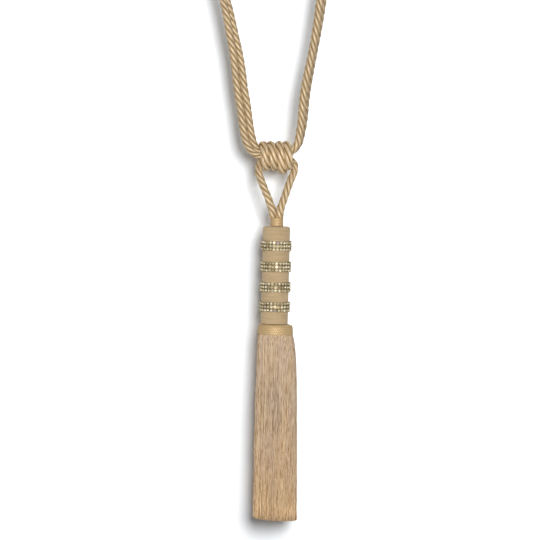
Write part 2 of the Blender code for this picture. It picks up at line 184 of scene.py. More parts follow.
# The tassel: its head's top and lean, and drops below that top.
HEAD_TOP = (0.00125, 0.0, -0.3872)
TASSEL_LEAN = math.radians(1.5)
TASSEL = Matrix.Translation(HEAD_TOP) @ Matrix.Rotation(TASSEL_LEAN, 4, "Y")
NECK_FORM = (
    # radius, drop
    (0.0061, -0.0085),
    (0.0065, -0.0077),
    (0.00615, -0.004675),
    (0.0065, -0.001),
    (0.0064, -FIT_GAP),
)
HEAD_RADIUS = 0.0136
HEAD_LENGTH = 0.0974
HEAD_SHOULDER = 0.0026
BAND_DROPS = (0.0195, 0.0403, 0.0606, 0.0803)
BAND_TURN = 0.7
COLLAR_THICKNESS = 0.0009
COLLAR_SHIFT = 0.0013
COLLAR_FORM = (
    # radius, drop below the head's foot
    (0.014, 0.0),
    (0.0162, 0.0008),
    (0.0169, 0.0018),
    (0.0174, 0.0035),
    (0.0178, 0.0102),
)
SKIRT_FORM = (
    # drop, radius, swing to the right of the leaning axis
    (0.0985, 0.0130, 0.0008),
    (0.1045, 0.0160, 0.0012),
    (0.1085, 0.0172, 0.0017),
    (0.1125, 0.0180, 0.0021),
    (0.119, 0.0189, 0.0024),
    (0.134, 0.0197, 0.0034),
    (0.174, 0.0209, 0.0040),
    (0.224, 0.0214, 0.0047),
    (0.2928, 0.0220, 0.0058),
)
HEM_SLOPE = 0.035
HEM_RAGGED = 0.0007


def linear(code):
    """An sRGB hex colour as linear red, green and blue."""
    parts = [int(code[i:i + 2], 16) / 255.0 for i in (0, 2, 4)]
    return tuple(p / 12.92 if p <= 0.04045 else ((p + 0.055) / 1.055) ** 2.4 for p in parts)


def measure(name, description, default, unit="LENGTH"):
    """A setting that is a length, or another measure."""
    return FloatProperty(name=name, description=description, default=default, unit=unit)


def count_of(name, description, default):
    """A setting that is a whole number."""
    return IntProperty(name=name, description=description, default=default)


def colour_of(name, description, code):
    """A setting that is a colour, from its sRGB hex code."""
    return FloatVectorProperty(name=name, description=description, default=linear(code), size=3,
                               subtype="COLOR")


class RopeSettings(bpy.types.PropertyGroup):
    """The twisted rope."""

    lay: measure("Lay", "Length of one whole turn of the strands", 0.031)
    strands: count_of("Strands", "Strands laid together", 4)
    yarns: count_of("Yarns", "Yarns that show round one strand", 9)
    # The crest colour is a painted highlight, and the groove colour painted shade between the
    # strands.
    crest: colour_of("Crest", "Colour where a strand stands proud", "c9b290")
    flank: colour_of("Flank", "Colour down a strand's side", "a6895b")
    groove_painted_shade: colour_of("Groove", "Colour between two strands", "6d542b")


class HeadSettings(bpy.types.PropertyGroup):
    """The thread-wound head."""

    pitch: measure("Thread", "From one turn of thread to the next", 0.0005)
    colour: colour_of("Thread colour", "Colour of the wound thread", "bfa682")
    shade: colour_of("Shade", "Colour of a turn that lies lower", "ad9571")


class BandSettings(bpy.types.PropertyGroup):
    """The stone bands."""

    stones: count_of("Stones", "Stones round one row", 26)
    rows: count_of("Rows", "Rows of stones in a band", 3)
    pitch: measure("Row pitch", "From one row to the next", 0.0034)
    stone: measure("Stone", "Radius of a cut stone", 0.0015)
    gilt: colour_of("Gilt", "Colour of the cups", "ac9a77")
    # The facet colours, from deep to clear, are painted glints and painted shade of the cut facets.
    clear: colour_of("Clear", "Colour of a bright facet", "efe9cd")
    middle: colour_of("Middle", "Colour of a facet between bright and dark", "c0b188")
    deep: colour_of("Deep", "Colour of a dark facet", "857350")


class BraidSettings(bpy.types.PropertyGroup):
    """The woven braid of the collar and the neck."""

    weave: measure("Weave", "From one crossing of the weave to the next", 0.0017)
    relief: measure("Relief", "How proud a crossing stands", 0.0002)
    # The colour between the crossings is painted shade where the weave dips.
    top: colour_of("Top", "Colour of a crossing", "eacc98")
    between: colour_of("Between", "Colour between the crossings", "7f5c30")


class SkirtSettings(bpy.types.PropertyGroup):
    """The skirt of loose threads."""

    threads: count_of("Threads", "Fine threads of the skirt's outer layers", 1800)
    core_threads: count_of("Core threads", "Threads inside the skirt", 1100)
    thread: measure("Thread", "Radius of an outer thread", 0.00027)
    light: colour_of("Light", "Colour of the lightest threads", "dac5a9")
    dark: colour_of("Dark", "Colour of the darkest threads", "987852")


class StageSettings(bpy.types.PropertyGroup):
    """Camera, lights, wall and floor."""

    wall: measure("Wall", "From the hook line back to the wall", 0.031)
    floor: measure("Floor", "Height of the floor", -0.714)
    object_light: measure("Object light", "Power of the object's light", 44.0, "POWER")
    wall_light: measure("Wall light", "Power of the wall's light", 82.0, "POWER")
    back_light: measure("Back light", "Power of the light on the back", 24.0, "POWER")
    ambient: measure("Ambient", "Light from all round", 0.19, "NONE")


class TiebackSettings(bpy.types.PropertyGroup):
    """All the settings of the tieback."""

    rope: PointerProperty(type=RopeSettings)
    head: PointerProperty(type=HeadSettings)
    band: PointerProperty(type=BandSettings)
    braid: PointerProperty(type=BraidSettings)
    skirt: PointerProperty(type=SkirtSettings)
    stage: PointerProperty(type=StageSettings)


def add_node(tree, kind, settings=None, links=None):
    """Add a shader node with its settings, which are properties, ramp stops or inputs, and links.

    A link comes from a socket, or from a node's first output.
    """
    made = tree.nodes.new("ShaderNode" + kind)
    for key, value in (settings or {}).items():
        if key == "stops":
            elements = made.color_ramp.elements
            while len(elements) < len(value):
                elements.new(1.0)
            for element, (place, colour) in zip(elements, value):
                element.position = place
                element.color = (*colour, 1.0)
        elif isinstance(key, str) and hasattr(made, key):
            setattr(made, key, value)
        else:
            made.inputs[key].default_value = value
    for key, source in (links or {}).items():
        tree.links.new(getattr(source, "outputs", [source])[0], made.inputs[key])
    return made


def new_material(name):
    """An empty node material, and its node tree."""
    made = bpy.data.materials.new(name)
    made.use_nodes = True
    made.node_tree.nodes.clear()
    return made, made.node_tree


def finish_material(made, shader):
    """Join a shader to the material's output."""
    add_node(made.node_tree, "OutputMaterial", {}, {"Surface": shader})
    return made


def surfaced(made, settings, links):
    """Give a material its surface."""
    return finish_material(made, add_node(made.node_tree, "BsdfPrincipled", settings, links))


def stored(tree, name):
    """A number that the mesh carries at each point or face."""
    return add_node(tree, "Attribute", {"attribute_name": name}).outputs["Fac"]


def object_place(tree):
    """The point's place in the object's own space."""
    return add_node(tree, "TexCoord").outputs["Object"]


def noise(tree, place, scale, detail=2.0, roughness=0.5):
    """Noise over a place, with its own scale along each axis."""
    mapped = add_node(tree, "Mapping", {"Scale": scale}, {"Vector": place})
    return add_node(tree, "TexNoise", {"Scale": 1.0, "Detail": detail, "Roughness": roughness},
                    {"Vector": mapped})


def ramp(tree, source, *stops):
    """Colours along a number."""
    return add_node(tree, "ValToRGB", {"stops": stops}, {"Fac": source})


def scaled(tree, colour, factor):
    """A colour made lighter or darker."""
    return add_node(tree, "VectorMath", {"operation": "SCALE"}, {0: colour, "Scale": factor})


def multiplied(tree, settings, links):
    """A colour times another."""
    settings = {"data_type": "RGBA", "blend_type": "MULTIPLY", **settings}
    return add_node(tree, "Mix", settings, links).outputs[2]


def rope_material(rope):
    """Laid rope of smooth viscose strands: soft sheen, painted highlights on crests, painted shade
    in grooves.
    """
    made, tree = new_material("viscose_rope")
    # The ramp over each point's reach paints a highlight on the crests and shade in the grooves.
    body = ramp(tree, stored(tree, "crest"), (0.74, rope.groove_painted_shade), (0.86, rope.flank),
                (0.98, rope.crest))
    # Yarn by yarn the dye takes a little differently. The same tone carries the painted light of
    # the knot and legs and the painted shade of the back rope.
    shift = add_node(tree, "MapRange", {"To Min": 0.86, "To Max": 1.1, "clamp": False},
                     {"Value": stored(tree, "tone")})
    # Filaments run along the yarns: 0.15 mm across and some millimetres long.
    place = add_node(tree, "Attribute", {"attribute_name": "yarn_place"}).outputs["Vector"]
    filaments = noise(tree, place, (6000.0, 6000.0, 250.0))
    bump = add_node(tree, "Bump", {"Strength": 0.35, "Distance": 0.0001}, {"Height": filaments})
    return surfaced(made, {
        "Metallic": 0.15, "Roughness": 0.46, "Specular IOR Level": 0.5,
    }, {"Base Color": scaled(tree, body, shift), "Normal": bump})


def wound_material(head):
    """Spun thread wound side by side: matte, with faint lines where a turn lies lower."""
    made, tree = new_material("spun_thread")
    # Turns bunch and part in streaks a millimetre high that run some way round the head.
    fluff = noise(tree, object_place(tree), (70.0, 70.0, 750.0), 4.0, 0.6)
    mixed = add_node(tree, "Math", {"operation": "MULTIPLY_ADD", 1: 0.15},
                     {0: stored(tree, "tone"), 2: fluff})
    base = ramp(tree, mixed, (0.45, head.shade), (0.68, head.colour))
    bump = add_node(tree, "Bump", {"Strength": 0.3, "Distance": 0.00015}, {"Height": fluff})
    return surfaced(made, {
        "Roughness": 0.85, "Specular IOR Level": 0.25, "Sheen Weight": 0.1, "Sheen Roughness": 0.5,
    }, {"Base Color": base, "Normal": bump})


def braid_material(braid):
    """Satin braid, woven on the bias: bright crossings, with painted shade in brown between them.
    """
    made, tree = new_material("satin_braid")
    # Painted shade between the crossings, where the weave lies lower.
    base = ramp(tree, stored(tree, "crest"), (0.0, braid.between), (0.75, braid.top))
    return surfaced(made, {"Metallic": 0.2, "Roughness": 0.6, "Specular IOR Level": 0.5},
                    {"Base Color": base})


def gilt_material(band):
    """Gilt brass, stamped: warm metal, a little dulled in patches."""
    made, tree = new_material("gilt_brass")
    # Tarnish in patches of a millimetre or so.
    patches = noise(tree, object_place(tree), (900.0, 900.0, 900.0))
    base = ramp(tree, patches, (0.3, [0.6 * part for part in band.gilt]), (0.6, band.gilt))
    return surfaced(made, {"Metallic": 0.8, "Roughness": 0.5}, {"Base Color": base})


def stone_material(band):
    """Foil-backed cut glass: painted glints take its facets from olive to cream, and a few stones
    get painted flashes.
    """
    made, tree = new_material("foiled_cut_glass")
    base = ramp(tree, stored(tree, "facet"), (0.0, band.deep), (0.5, band.middle),
                (0.95, band.clear))
    # Most stones stay clear. The last stops are painted flashes of coloured light on the few that
    # flash.
    flash = ramp(tree, stored(tree, "flash"), (0.0, linear("ffffff")), (0.88, linear("ffffff")),
                 (0.92, linear("c6c0ff")), (0.96, linear("c8efe0")), (0.985, linear("ffd9e2")))
    return surfaced(made, {
        "Metallic": 0.1, "Roughness": 0.3, "Specular IOR Level": 0.35, "Coat Weight": 0.1,
        "Coat Roughness": 0.1,
    }, {"Base Color": multiplied(tree, {"Factor": 1.0}, {6: base, 7: flash})})


def thread_material(skirt):
    """Loose viscose threads: silky, each a little lighter or darker, with long soft streaks."""
    made, tree = new_material("viscose_threads")
    place = object_place(tree)
    # Streaks 0.4 mm wide and 13 mm long.
    streaks = noise(tree, place, (2600.0, 2600.0, 75.0))
    mixed = add_node(tree, "Math", {"operation": "ADD"}, {0: streaks, 1: stored(tree, "tone")})
    base = ramp(tree, mixed, (0.33, skirt.dark), (0.57, skirt.light))
    # Bunches of threads, some millimetres wide, lean to gold or to grey.
    tint = ramp(tree, noise(tree, place, (190.0, 190.0, 22.0)), (0.35, linear("fdf8ef")),
                (0.62, linear("f8f6fb")))
    tinted = multiplied(tree, {"Factor": 1.0}, {6: base, 7: tint})
    # The dye is a little yellower towards the hem, with painted light that brightens it there, and
    # the cut ends are painted paler with painted light.
    height = add_node(tree, "SeparateXYZ", {}, {0: place}).outputs["Z"]
    lower = add_node(tree, "MapRange", {"From Min": -0.56, "From Max": -0.68}, {"Value": height})
    warmed_and_painted_lighter = multiplied(tree, {7: (1.16, 1.09, 0.93, 1.0)}, {"Factor": lower, 6: tinted})
    # Painted light on the cut ends at the hem.
    ends = add_node(tree, "MapRange", {
        "From Min": -0.655, "From Max": -0.676, "To Min": 1.0, "To Max": 1.15}, {"Value": height})
    return surfaced(made, {
        "Roughness": 0.55, "Specular IOR Level": 0.4, "Sheen Weight": 0.1, "Sheen Roughness": 0.4,
    }, {"Base Color": scaled(tree, warmed_and_painted_lighter, ends)})


def paint_shader(tree, code):
    """Matt emulsion paint on plaster: pale and without any shine."""
    colour = linear(code)
    # Roller marks some centimetres long, too faint to see as a pattern.
    marks = noise(tree, object_place(tree), (30.0, 30.0, 30.0))
    base = ramp(tree, marks, (0.3, [0.98 * part for part in colour]), (0.7, colour))
    return add_node(tree, "BsdfPrincipled", {"Roughness": 0.95, "Specular IOR Level": 0.1},
                    {"Base Color": base})


def smooth_rows(rows):
    """Rows of a smooth curve through the given rows, whose first three columns are a point."""
    rows = [np.array(row, dtype=float) for row in rows]
    rows = [2.0 * rows[0] - rows[1], *rows, 2.0 * rows[-1] - rows[-2]]
    dense = []
    for first, start, end, last in zip(rows, rows[1:], rows[2:], rows[3:]):
        knots = [0.0]
        for near, far in ((first, start), (start, end), (end, last)):
            knots.append(knots[-1] + math.sqrt(np.linalg.norm(far[:3] - near[:3])))
        for step in range(CURVE_POINTS):
            t = knots[1] + (knots[2] - knots[1]) * step / CURVE_POINTS
            level = [first, start, end, last]
            for width in (1, 2, 3):
                blended = []
                for i in range(4 - width):
                    low, high = (knots[1], knots[2]) if width == 3 else (knots[i], knots[i + width])
                    share = (t - low) / (high - low)
                    blended.append(level[i] * (1.0 - share) + level[i + 1] * share)
                level = blended
            dense.append(level[0])
    dense.append(rows[-2])
    return np.array(dense)


def travelled(points):
    """Length from the start of a line to each of its points."""
    return np.concatenate(([0.0], np.cumsum(np.linalg.norm(np.diff(points, axis=0), axis=1))))


def even_rows(rows, step):
    """The rows of a curve taken again at even steps along it."""
    lengths = travelled(rows[:, :3])
    wanted = np.linspace(0.0, lengths[-1], max(2, round(lengths[-1] / step)) + 1)
    return np.stack([np.interp(wanted, lengths, column) for column in rows.T], axis=1)


def unit(vectors):
    """Vectors of length one."""
    return vectors / np.linalg.norm(vectors, axis=1)[:, None]


# The two ropes are pressed together, so that the strands of one lie in the other's grooves.
PAIR_PRESS = 0.93


def loop_rows(side, step):
    """One rope of the loop's pair: side is 1 for the front rope and -1 for the back one."""
    middle = smooth_rows(PAIR_ROUTE)
    along = unit(np.gradient(middle[:, :3], axis=0))
    turn = np.radians(middle[:, 3])
    beside = unit(np.stack((-along[:, 2], np.zeros(len(along)), along[:, 0]), axis=1))
    front = np.array((0.0, -1.0, 0.0))
    apart = np.cos(turn)[:, None] * beside + np.sin(turn)[:, None] * front
    half = PAIR_PRESS * middle[:, 4]
    points = middle[:, :3] + side * half[:, None] * apart
    return even_rows(np.column_stack((points, middle[:, 4])), step)


def winding_rows(step):
    """The knot's winding, from its start at the back."""
    rows = []
    for i in range(round(KNOT_TURNS * KNOT_POINTS_PER_TURN) + 1):
        turn = i / KNOT_POINTS_PER_TURN
        angle = 2.0 * math.pi * turn
        slack = (turn - LOOSE_BIGHT_AT) / LOOSE_BIGHT_WIDTH
        radius = KNOT_WIND_RADIUS + LOOSE_BIGHT_DROP * math.exp(-slack * slack)
        upright = max(0.0, turn - KNOT_UPRIGHT_FROM)
        x = KNOT_START_X + KNOT_PITCH * (turn - upright * (1.0 - KNOT_UPRIGHT_SHARE))
        thin = min(1.0, max(0.0, 1.0 - (KNOT_TURNS - turn) / KNOT_TAPER_TURNS))
        cord = KNOT_CORD_RADIUS + (KNOT_END_RADIUS - KNOT_CORD_RADIUS) * thin
        rows.append((x, radius * math.cos(angle), KNOT_HEIGHT + radius * math.sin(angle), cord))
    return even_rows(np.array(rows), step)


def steady_sides(points):
    """Two cross directions along a line that don't spin round it."""
    along = unit(np.gradient(points, axis=0))
    side = np.cross(along[0], (0.0, 1.0, 0.3))
    sides = []
    for direction in along:
        side = side - direction * np.dot(side, direction)
        side = side / np.linalg.norm(side)
        sides.append(side)
    sides = np.array(sides)
    return sides, np.cross(along, sides)


def add_object(name, data):
    """Put a new object with this data in the scene."""
    made = bpy.data.objects.new(name, data)
    bpy.context.scene.collection.objects.link(made)
    return made


def finished(bm, name):
    """The bmesh as a mesh of that name."""
    mesh = bpy.data.meshes.new(name)
    bm.to_mesh(mesh)
    bm.free()
    return mesh


def ring_section(radii):
    """A closed ring of points at these distances from its middle, as a guide for tubes."""
    curve = bpy.data.curves.new("section", "CURVE")
    curve.dimensions = "2D"
    spline = curve.splines.new("POLY")
    spline.points.add(len(radii) - 1)
    for i, (point, radius) in enumerate(zip(spline.points, radii)):
        angle = -2.0 * math.pi * i / len(radii)
        point.co = (radius * math.cos(angle), radius * math.sin(angle), 0.0, 1.0)
    spline.use_cyclic_u = True
    return add_object("section", curve)


def tube_mesh(name, lines, width, tilt, radii):
    """A mesh of closed tubes along lines of points, whose width and tilt are alike.

    It also gives each vertex's line, ring and place in the ring.
    """
    section = ring_section(radii)
    curve = bpy.data.curves.new(name, "CURVE")
    curve.dimensions = "3D"
    curve.twist_mode = "MINIMUM"
    curve.bevel_mode = "OBJECT"
    curve.bevel_object = section
    curve.use_fill_caps = True
    curve.resolution_u = 1
    curve.render_resolution_u = 0
    for line in lines:
        spline = curve.splines.new("POLY")
        spline.points.add(len(line) - 1)
        spline.points.foreach_set("co", np.column_stack((line, np.ones(len(line)))).ravel())
        spline.points.foreach_set("radius", np.full(len(line), width, dtype=float))
        spline.points.foreach_set("tilt", np.full(len(line), tilt, dtype=float))
    guide = add_object(name, curve)
    bpy.context.view_layer.update()
    graph = bpy.context.evaluated_depsgraph_get()
    mesh = bpy.data.meshes.new_from_object(guide.evaluated_get(graph))
    bpy.data.objects.remove(guide)
    bpy.data.objects.remove(section)
    mesh.name = name
    corners = range(len(radii))
    places = []
    for number in reversed(range(len(lines))):
        places += [(number, ring, corner) for ring in (len(lines[number]) - 1, 0)
                   for corner in corners]
    for number, line in enumerate(lines):
        places += [(number, ring, corner) for ring in range(len(line)) for corner in corners]
    if len(places) != len(mesh.vertices):
        raise RuntimeError(f"{name}: {len(mesh.vertices)} points where {len(places)} were due")
    return mesh, np.array(places)


def mesh_points(mesh):
    """The mesh's points as an array."""
    points = np.empty(len(mesh.vertices) * 3)
    mesh.vertices.foreach_get("co", points)
    return points.reshape(-1, 3)


def set_attribute(mesh, name, values, domain="POINT"):
    """Store one number, or one vector, for each point or face."""
    values = np.asarray(values, dtype=np.float32)
    kind, field = ("FLOAT_VECTOR", "vector") if values.ndim == 2 else ("FLOAT", "value")
    mesh.attributes.new(name, kind, domain).data.foreach_set(field, values.ravel())


def close_mesh(mesh):
    """Join the ends' doubled points, and face every tube outwards."""
    bm = bmesh.new()
    bm.from_mesh(mesh)
    bmesh.ops.remove_doubles(bm, verts=bm.verts[:], dist=MERGE)
    bmesh.ops.recalc_face_normals(bm, faces=bm.faces[:])
    bm.to_mesh(mesh)
    bm.free()
    mesh.shade_smooth()


def add_piece(name, mesh, finish, slot, *nodes):
    """Put a finished mesh in the scene as a piece of the object."""
    piece = add_object(name, mesh)
    mesh.materials.clear()
    mesh.materials.append(finish)
    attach(piece, BODY)
    if nodes:
        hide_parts(*nodes)
    return piece


# Where a strand's middle lies and how wide it is, as shares of the rope's radius, so that the
# strands press into each other; its width at the nick between two yarns, as a share of its own;
# the length of one turn of the yarns; and the step along a rope.
STRAND_REACH = 0.5
STRAND_WIDTH = 0.53
YARN_NICK = 0.93
YARN_LAY = 0.034
ROPE_STEP = 0.0016


def strand_lines(rows, rope, squeezed=0.0, ahead=0.0, drawn=0.0):
    """The middle lines of a rope's strands, with their widths and the turn of their yarns.

    squeezed is how far, at each row, the rope is pressed square against its neighbours along X.
    ahead is how much of a strand's width the strands are turned on. drawn is by how much, at each
    row, the lay is drawn out longer.
    """
    points, radii = rows[:, :3], rows[:, 3]
    lengths = travelled(points)
    laid = np.cumsum(np.diff(lengths, prepend=0.0) / (rope.lay * (1.0 + drawn)))
    side, up = steady_sides(points)
    across = np.array((1.0, 0.0, 0.0))
    lines = []
    for number in range(rope.strands):
        angle = 2.0 * math.pi * ((number + ahead) / rope.strands - laid)
        out = np.cos(angle)[:, None] * side + np.sin(angle)[:, None] * up
        lateral = np.abs(out @ across)
        corner = 4.0 * lateral ** 2 * (1.0 - lateral ** 2)
        reach = STRAND_REACH * radii * (1.0 + squeezed * corner)
        lines.append(points + reach[:, None] * out)
    widths = STRAND_WIDTH * radii
    tilts = 2.0 * math.pi * lengths / YARN_LAY
    return lines, widths, tilts


def rope_piece(name, rows, rope, first=0, last=None, squeezed=0.0, ahead=0.0, drawn=0.0,
               pale=0.0):
    """A rope of twisted strands along part of its route, with the yarns of each strand raised.

    pale is how much lighter it is painted, at each row or all along, as a share of the yarns'
    spread:
    painted light where it is above nought and painted shade where it is below.
    """
    lines, widths, tilts = strand_lines(rows, rope, squeezed, ahead, drawn)
    part = slice(first, last)
    rows, widths, tilts = rows[part], widths[part], tilts[part]
    lines = [line[part] for line in lines]
    radii = [1.0, YARN_NICK] * rope.yarns
    mesh, places = tube_mesh(name, lines, widths, tilts, radii)
    number, ring, corner = places.T
    reach = np.linalg.norm(mesh_points(mesh) - rows[ring, :3], axis=1) / rows[ring, 3]
    set_attribute(mesh, "crest", reach)
    rng = np.random.default_rng(len(rows))
    yarn_tone = rng.random((rope.strands, rope.yarns))
    # The yarns' own dye, plus pale: painted light where above nought, painted shade where below.
    lighter = np.broadcast_to(pale, len(rows))[ring]
    set_attribute(mesh, "tone", lighter + yarn_tone[number, (corner // 2) % rope.yarns])
    angle = 2.0 * math.pi * corner / len(radii)
    width = widths[ring]
    along = travelled(rows[:, :3])[ring] + number
    set_attribute(mesh, "yarn_place",
                  np.stack((width * np.cos(angle), width * np.sin(angle), along), axis=1))
    close_mesh(mesh)
    return mesh


class TIEBACK_OT_stage(bpy.types.Operator):
    """Set the camera, the lights, the wall and the floor"""

    bl_idname = "tieback.stage"
    bl_label = "Stage"

    def execute(self, context):
        scene = context.scene
        scene.camera = add_camera()
        scene.world = add_surroundings(scene.tieback.stage)
        scene.view_settings.view_transform = "Standard"
        return {"FINISHED"}


# The camera is level with the knot's upper side and looks a little down.
CAMERA_PLACE = Vector((-0.0055, -2.95, -0.304))
CAMERA_TARGET = Vector((-0.0055, 0.0, -0.431))
FRAME_SIDE = 0.540
SENSOR = 36.0
FAR_CLIP = 50.0
# The lights' places from the object's middle, and their sizes.
MIDDLE = Vector((0.0, 0.0, -0.43))
OBJECT_LIGHT = ((-0.06, -2.2, 0.24), 0.7)
WALL_LIGHT = ((0.59, -2.2, 0.6), 1.3)
BACK_LIGHT = ((0.2, 2.2, 0.5), 0.9)
WALL_SIDE = 3.0
FLOOR_SIDE = 16.0
BACKDROP_RADIUS = 14.0


def look_at(obj, target):
    """Turn a camera or light towards a point."""
    obj.rotation_euler = (target - obj.location).to_track_quat("-Z", "Y").to_euler()


def add_camera():
    """The camera, from where the picture was taken."""
    data = bpy.data.cameras.new("camera")
    camera = add_object("camera", data)
    camera.location = CAMERA_PLACE
    look_at(camera, CAMERA_TARGET)
    data.sensor_width = SENSOR
    data.lens = SENSOR * (CAMERA_TARGET - CAMERA_PLACE).length / FRAME_SIDE
    data.clip_end = FAR_CLIP
    return camera


def add_light(name, place, size, power, targets=None, blockers=None):
    """A soft round light turned to the object. It may light and be blocked by only some things."""
    data = bpy.data.lights.new(name, "AREA")
    data.shape = "DISK"
    data.size = size
    data.energy = power
    light = add_object(name, data)
    light.location = MIDDLE + Vector(place)
    look_at(light, MIDDLE)
    light.light_linking.receiver_collection = targets
    light.light_linking.blocker_collection = blockers
    return light


def add_plane(name, size, place, turn, material):
    """A flat square of the stage."""
    bm = bmesh.new()
    bmesh.ops.create_grid(bm, x_segments=1, y_segments=1, size=0.5 * size)
    bmesh.ops.transform(bm, matrix=Matrix.Translation(place) @ turn, verts=bm.verts[:])
    plane = add_object(name, finished(bm, name))
    plane.data.materials.append(material)
    plane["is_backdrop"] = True
    return plane


def wall_material():
    """Matt white paint that shows only from the room's side of the wall."""
    made, tree = new_material("wall_paint")
    side = add_node(tree, "NewGeometry").outputs["Backfacing"]
    return finish_material(made, add_node(tree, "MixShader", {}, {
        0: side, 1: paint_shader(tree, "eff2f5"), 2: add_node(tree, "BsdfTransparent")}))


def floor_material():
    """Matt pale paint."""
    made, tree = new_material("floor_paint")
    return finish_material(made, paint_shader(tree, "f2f1ef"))


def backdrop_material():
    """An even white light that only the camera sees."""
    made, tree = new_material("white_backdrop")
    return finish_material(made, add_node(tree, "Emission", {"Strength": 1.0}))


def add_surroundings(stage):
    """A white wall behind the tieback, a pale floor under it, and soft light from all round."""
    upright = Matrix.Rotation(math.radians(90.0), 4, "X")
    wall = add_plane("wall", WALL_SIDE, (0.0, stage.wall, 0.5 * WALL_SIDE + stage.floor), upright,
                     wall_material())
    wall.visible_glossy = False
    floor = add_plane("floor", FLOOR_SIDE, (0.0, 0.0, stage.floor), Matrix.Identity(4),
                      floor_material())
    floor.visible_diffuse = False
    bm = bmesh.new()
    bmesh.ops.create_uvsphere(bm, u_segments=48, v_segments=24, radius=BACKDROP_RADIUS)
    bmesh.ops.reverse_faces(bm, faces=bm.faces[:])
    backdrop = add_object("backdrop", finished(bm, "backdrop"))
    backdrop.data.materials.append(backdrop_material())
    backdrop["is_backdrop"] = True
    for ray in ("diffuse", "glossy", "transmission", "volume_scatter", "shadow"):
        setattr(backdrop, f"visible_{ray}", False)
    room = bpy.data.collections.new("room")
    room.objects.link(wall)
    room.objects.link(floor)
    add_light("wall_light", *WALL_LIGHT, stage.wall_light, room)
    world = bpy.data.worlds.new("studio")
    world.use_nodes = True
    world.node_tree.nodes.clear()
    sky = add_node(world.node_tree, "Background", {
        "Color": (1.0, 1.0, 1.0, 1.0), "Strength": stage.ambient})
    add_node(world.node_tree, "OutputWorld", {}, {"Surface": sky})
    return world


class TIEBACK_OT_object_light(bpy.types.Operator):
    """Light the tieback itself, softly from the front, and its back through the one-sided wall"""

    bl_idname = "tieback.object_light"
    bl_label = "Object light"

    def execute(self, context):
        stage = context.scene.tieback.stage
        lit = bpy.data.collections.new("lit_pieces")
        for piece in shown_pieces():
            lit.objects.link(piece)
        add_light("object_light", *OBJECT_LIGHT, stage.object_light, lit)
        back = add_light("back_light", *BACK_LIGHT, stage.back_light, lit, lit)
        back.visible_camera = False
        return {"FINISHED"}


# At the right the back rope is painted darker, as painted shade from the front one, which sets in
# over some way in X.
BACK_ROPE_PAINTED_SHADE = 0.9
SHADE_WIDTH = 0.01


class TIEBACK_OT_loop(bpy.types.Operator):
    """Lay the two ropes of the loop"""

    bl_idname = "tieback.loop"
    bl_label = "Loop ropes"

    def execute(self, context):
        rope = context.scene.tieback.rope
        finish = bpy.data.materials.get("viscose_rope") or rope_material(rope)
        for name, node, side, ahead in (("loop_rope_front", "embrace_front", 1, 0.0),
                                        ("loop_rope_back", "embrace_back", -1, 0.5)):
            rows = loop_rows(side, ROPE_STEP)
            # The back rope gets painted shade towards the right.
            pale = -BACK_ROPE_PAINTED_SHADE * np.clip(rows[:, 0] / SHADE_WIDTH, 0.0, 1.0) if side < 0 else 0.0
            mesh = rope_piece(name, rows, rope, ahead=ahead, pale=pale)
            piece = add_piece(name, mesh, finish, "rope", node)
        return {"FINISHED"}


# In the knot the rope is pressed against its next turn, and its lay is drawn out. Both fade over
# the rows next to the left leg. The knot and the legs are painted paler than the loop, as painted
# light that lifts their shade.
KNOT_SQUEEZE = 0.12
KNOT_DRAWN = 0.5
FADE_ROWS = 8.0
KNOT_PAINTED_LIGHT = 0.75
LEG_PAINTED_LIGHT = 0.2


class TIEBACK_OT_knot(bpy.types.Operator):
    """Wind the knot and lay the two legs that carry the tassel"""

    bl_idname = "tieback.knot"
    bl_label = "Knot and legs"

    def execute(self, context):
        rope = context.scene.tieback.rope
        finish = bpy.data.materials.get("viscose_rope") or rope_material(rope)
        winding = winding_rows(ROPE_STEP)[::-1]
        left = even_rows(smooth_rows(LEFT_LEG_ROUTE), ROPE_STEP)
        whole = np.concatenate((winding, left))
        seam = len(winding)
        left_over = np.clip((seam - np.arange(len(whole))) / FADE_ROWS, 0.0, 1.0)
        drawn = KNOT_DRAWN * left_over
        # The knot is painted paler: painted light.
        mesh = rope_piece("knot_rope", whole, rope, 0, seam + 1, KNOT_SQUEEZE * left_over,
                          drawn=drawn, pale=KNOT_PAINTED_LIGHT)
        add_piece("knot_rope", mesh, finish, "rope", "knot_winding")
        right = even_rows(smooth_rows(RIGHT_LEG_ROUTE), ROPE_STEP)
        for name, node, rows, first, length in (
                ("left_leg_rope", "hanger_left", whole, seam, LEFT_LEG_LENGTH),
                ("right_leg_rope", "hanger_right", right, 0, RIGHT_LEG_LENGTH)):
            # The legs are painted a little paler: painted light.
            mesh = rope_piece(name, rows, rope, first, drawn=drawn if rows is whole else 0.0,
                              pale=LEG_PAINTED_LIGHT)
            piece = add_piece(name, mesh, finish, "rope", node)
        return {"FINISHED"}


def spun_mesh(name, profile, steps, shape=None):
    """A closed body of revolution from a profile of radius and drop, axis to axis or closed.

    shape may move each point, which it gets as angle, radius and drop.
    """
    bm = bmesh.new()
    verts = [bm.verts.new((radius, 0.0, -drop)) for radius, drop in profile]
    closed = profile[0][0] > 0.0
    pairs = zip(verts, verts[1:] + verts[:1]) if closed else zip(verts, verts[1:])
    edges = [bm.edges.new(pair) for pair in pairs]
    bmesh.ops.spin(bm, geom=verts + edges, cent=(0.0, 0.0, 0.0), axis=(0.0, 0.0, 1.0),
                   angle=2.0 * math.pi, steps=steps, use_merge=True)
    bmesh.ops.remove_doubles(bm, verts=bm.verts[:], dist=MERGE)
    bmesh.ops.recalc_face_normals(bm, faces=bm.faces[:])
    if shape is not None:
        for vert in bm.verts:
            angle = math.atan2(vert.co.y, vert.co.x)
            radius, drop = shape(angle, vert.co.xy.length, -vert.co.z)
            vert.co = (radius * math.cos(angle), radius * math.sin(angle), -drop)
    mesh = finished(bm, name)
    mesh.shade_smooth()
    return mesh


HEAD_STEPS = 96
